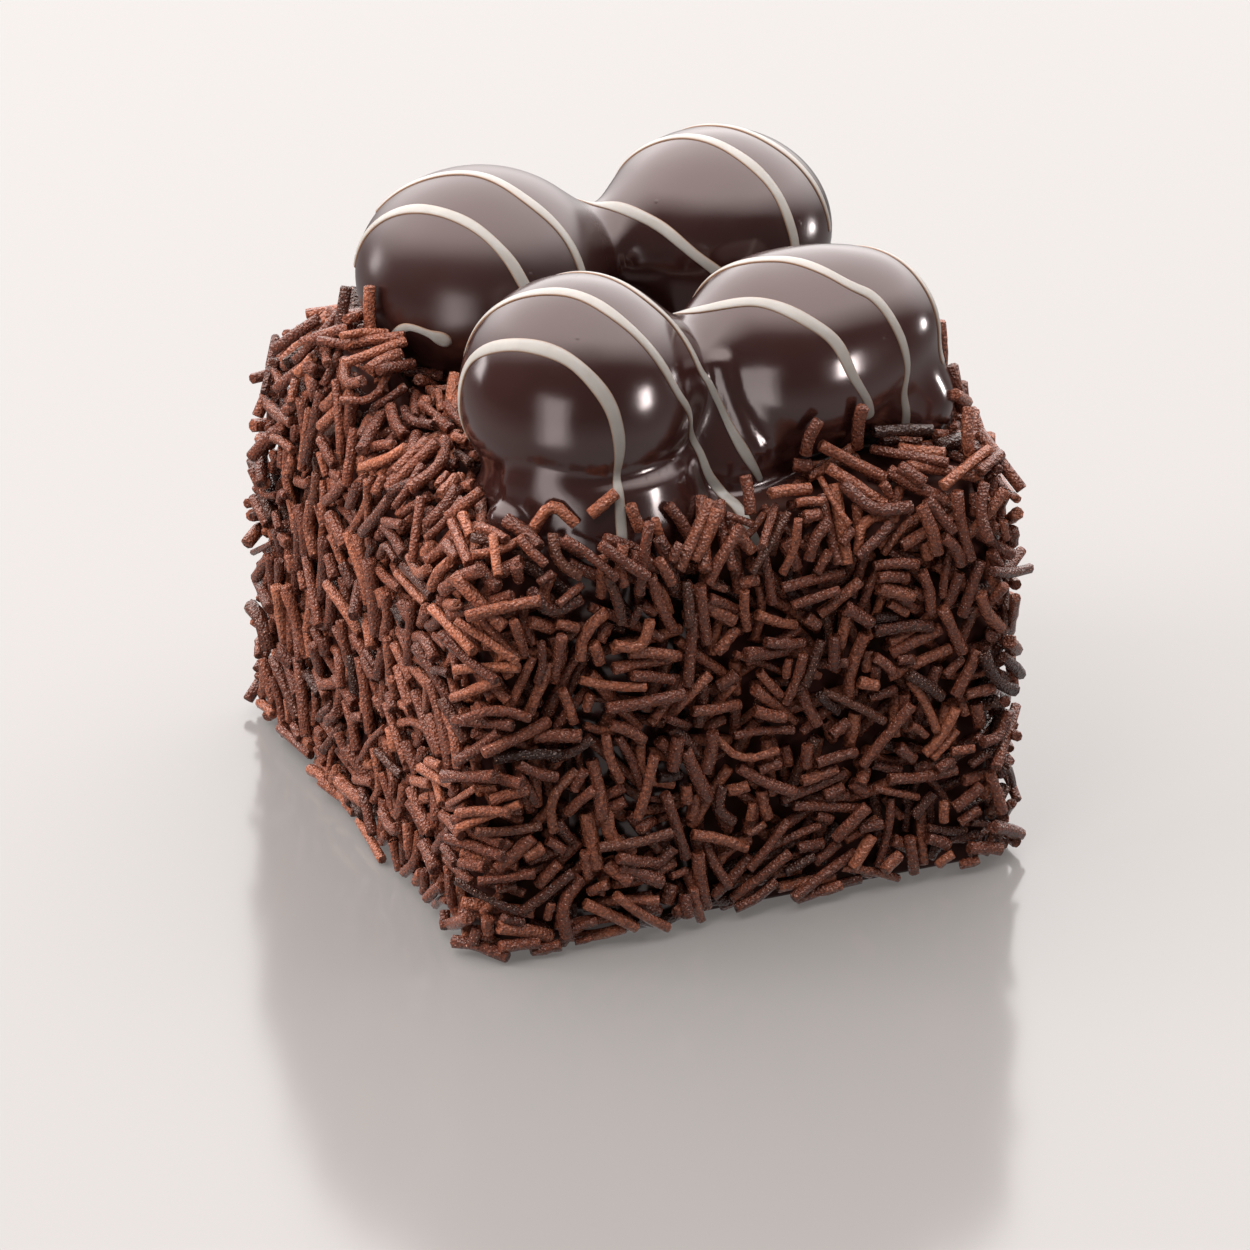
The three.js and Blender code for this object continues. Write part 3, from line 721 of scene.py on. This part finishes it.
def strand_mesh(name, laid, material, rng):
    """One mesh of all the strands of a kind: rough round bars with blunt ends."""
    lines = np.stack([entry[0] for entry in laid])
    outward = np.stack([entry[1] for entry in laid])
    radius = np.array([entry[2] for entry in laid])
    count, rings, sides = len(lines), STRAND["rings"], STRAND["sides"]
    ahead = np.gradient(lines, axis=1)
    ahead /= np.linalg.norm(ahead, axis=2, keepdims=True)
    across = np.cross(ahead, outward[:, None])
    across /= np.linalg.norm(across, axis=2, keepdims=True)
    upright = np.cross(across, ahead)
    angle = np.arange(sides) * 2 * math.pi / sides
    rough = rng.normal(1, STRAND["roughness"], (count, rings, sides))
    size = radius[:, None, None] * rough
    size[:, [0, -1]] *= STRAND["taper"]
    spokes = (across[:, :, None] * np.cos(angle)[:, None] + upright[:, :, None] * np.sin(angle)[:, None])
    centres = lines.copy()
    centres[:, 1] = lines[:, 0] + ahead[:, 0] * STRAND["lip"]
    centres[:, -2] = lines[:, -1] - ahead[:, -1] * STRAND["lip"]
    points = centres[:, :, None] + spokes * size[..., None]
    dent = STRAND["dent"]
    caps = np.stack([lines[:, 0] + ahead[:, 0] * dent, lines[:, -1] - ahead[:, -1] * dent], 1)
    each = rings * sides + 2
    points = np.concatenate([points.reshape(count, -1, 3), caps], axis=1).reshape(-1, 3)
    index = np.arange(rings * sides).reshape(rings, sides)
    following = np.roll(index, -1, axis=1)
    quads = np.stack([index[:-1], following[:-1], following[1:], index[1:]], -1).reshape(-1, 4)
    first = np.stack([np.full(sides, rings * sides), following[0], index[0]], -1)
    last = np.stack([np.full(sides, rings * sides + 1), index[-1], following[-1]], -1)
    ends = np.vstack([first, last])
    shift = (np.arange(count) * each)[:, None, None]
    faces = [(quads + shift).reshape(-1, 4), (ends + shift).reshape(-1, 3)]
    piece = mesh_object(name, points, faces, material)
    tone = np.clip(rng.normal(TONE["middle"], TONE["spread"], count), 0, 1)
    is_wet = rng.random(count) < WET["share"]
    wet = np.where(is_wet, rng.uniform(*WET["wet"], count), rng.uniform(*WET["dry"], count))
    store(piece, "tone", np.repeat(tone, each))
    store(piece, "wet", np.repeat(wet, each))
    return piece


def build_vermicelli(material):
    """One piece for each kind of strand."""
    rng = np.random.default_rng(COAT["seed"])
    laid = lay_strands(rng)
    return [strand_mesh("vermicelli_" + kind, laid[kind], material, rng) for kind in KINDS]


# --- Floor, light and camera ----------------------------------------------------------------------------
FLOOR = {"reach": 6.0, "colour": (0.175, 0.164, 0.158, 1), "glow": (1.0, 0.94, 0.90, 1),
         "glow_strength": 0.12, "roughness": 0.14}


def build_floor():
    """A pale floor with a dim mirror image, which the gloss doesn't mirror back."""
    size = FLOOR["reach"]
    mesh = bpy.data.meshes.new("floor")
    corners = [(-size, -size, 0), (size, -size, 0), (size, size, 0), (-size, size, 0)]
    mesh.from_pydata(corners, [], [(0, 1, 2, 3)])
    material, _, shader = new_material("pale floor")
    shader.inputs["Base Color"].default_value = FLOOR["colour"]
    shader.inputs["Emission Color"].default_value = FLOOR["glow"]
    shader.inputs["Emission Strength"].default_value = FLOOR["glow_strength"]
    material.cycles.emission_sampling = "NONE"
    shader.inputs["Roughness"].default_value = FLOOR["roughness"]
    mesh.materials.append(material)
    floor = bpy.data.objects.new("floor", mesh)
    floor.visible_glossy = False
    bpy.context.scene.collection.objects.link(floor)


def direction(azimuth, elevation):
    """A unit vector: azimuth 0 looks from the front, 90 from +X, and 180 from the back."""
    a, e = math.radians(azimuth), math.radians(elevation)
    return Vector((math.sin(a) * math.cos(e), -math.cos(a) * math.cos(e), math.sin(e)))


# The soft boxes: azimuth and elevation in degrees, distance, width and height in metres, power in watts.
GLINTS = {  # these light the glaze alone, and it mirrors them
    "tall box, front left": (-45, -6, 0.6, 0.20, 0.50, 0.50),
    "wide box, front left": (-45, -6, 0.61, 0.34, 0.54, 0.70),
    "small box, front right": (29.7, 6.4, 0.107, 0.016, 0.024, 0.03),
    "small box, right": (88, -2, 0.6, 0.05, 0.05, 0.5),
    "small box, left": (-138, 3, 1.0, 0.24, 0.24, 1.0),
}
FILLS = {   # these light everything, and nothing mirrors them
    "side light, left": (-105, 22, 1.2, 0.8, 0.6, 17),
    "front light": (-52, 52, 1.5, 0.5, 0.5, 7),
}
LIT = Vector((0, 0, 0.06))      # the place that all of them face, in the upper part of the cake
SKY = {"azimuth": 155, "elevation": 55, "half_angle": 60, "softness": 12, "bright": 3.2, "dim": 0.12,
       "colour": (1.0, 0.97, 0.96, 1)}
GROUND = {"level": -0.08, "deep": -0.45, "bright": 0.32}    # what the gloss mirrors below the horizon


def soft_box(name, azimuth, elevation, distance, width, height, power):
    """A soft lamp that faces the cake and isn't seen."""
    light = bpy.data.lights.new(name, "AREA")
    light.shape = "RECTANGLE"
    light.size, light.size_y = width, height
    light.energy = power
    lamp = bpy.data.objects.new(name, light)
    toward = direction(azimuth, elevation)
    lamp.location = LIT + toward * distance
    lamp.rotation_euler = toward.to_track_quat("Z", "Y").to_euler()
    lamp.visible_camera = False
    bpy.context.scene.collection.objects.link(lamp)
    return lamp


def build_sky():
    """A soft bright patch high behind the cake, in a dim room, with a brighter ground."""
    world = bpy.data.worlds.new("soft studio")
    bpy.context.scene.world = world
    world.use_nodes = True
    tree = world.node_tree
    place = add_node(tree, "ShaderNodeTexCoord").outputs["Generated"]
    facing = add_node(tree, "ShaderNodeVectorMath", {"operation": "DOT_PRODUCT"})
    tree.links.new(place, facing.inputs[0])
    facing.inputs[1].default_value = direction(SKY["azimuth"], SKY["elevation"])
    edge = [math.cos(math.radians(SKY["half_angle"] + s * SKY["softness"])) for s in (1, -1)]
    glow = ranged(tree, facing.outputs["Value"], *edge, SKY["dim"], SKY["bright"])
    height = add_node(tree, "ShaderNodeSeparateXYZ", Vector=place).outputs["Z"]
    ground = ranged(tree, height, GROUND["level"], GROUND["deep"], 0, GROUND["bright"])
    tree.links.new(added(tree, glow, ground), tree.nodes["Background"].inputs["Strength"])
    tree.nodes["Background"].inputs["Color"].default_value = SKY["colour"]


def build_lamps(glaze):
    """The small lamps that show as lights on the glaze, and the two that light the whole cake."""
    glossy = bpy.data.collections.new("glossy")
    glossy.objects.link(glaze)
    for name, numbers in GLINTS.items():
        soft_box(name, *numbers).light_linking.receiver_collection = glossy
    for name, numbers in FILLS.items():
        soft_box(name, *numbers).visible_glossy = False


def build_camera():
    """A long lens that looks at the cake from the photograph's angle."""
    data = bpy.data.cameras.new("camera")
    data.sensor_width = CAMERA["sensor"]
    data.lens = CAMERA["focal_px"] * CAMERA["sensor"] / CAMERA["frame_px"]
    data.clip_end = 20
    camera = bpy.data.objects.new("camera", data)
    back = direction(-CAMERA["turn"], CAMERA["elevation"])
    camera.location = (Vector(CAMERA["target"]) + back * CAMERA["distance"]) * MM
    camera.rotation_euler = back.to_track_quat("Z", "Y").to_euler()
    bpy.context.scene.collection.objects.link(camera)
    bpy.context.scene.camera = camera


# --- The scene ------------------------------------------------------------------------------------------
bpy.context.scene.view_settings.view_transform = "Standard"
glaze = build_glaze(glaze_material(), ground_material())
icing = build_icing(icing_material())
strands = build_vermicelli(vermicelli_material())
profiteroles = ["profiterole_front", "profiterole_left", "profiterole_back", "profiterole_right"]
for piece in [glaze, icing] + strands:
    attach(piece, "root")
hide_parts("cake", *profiteroles)
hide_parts(*profiteroles)
for piece in strands:
    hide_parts("cake")

build_floor()
build_sky()
build_lamps(glaze)
build_camera()
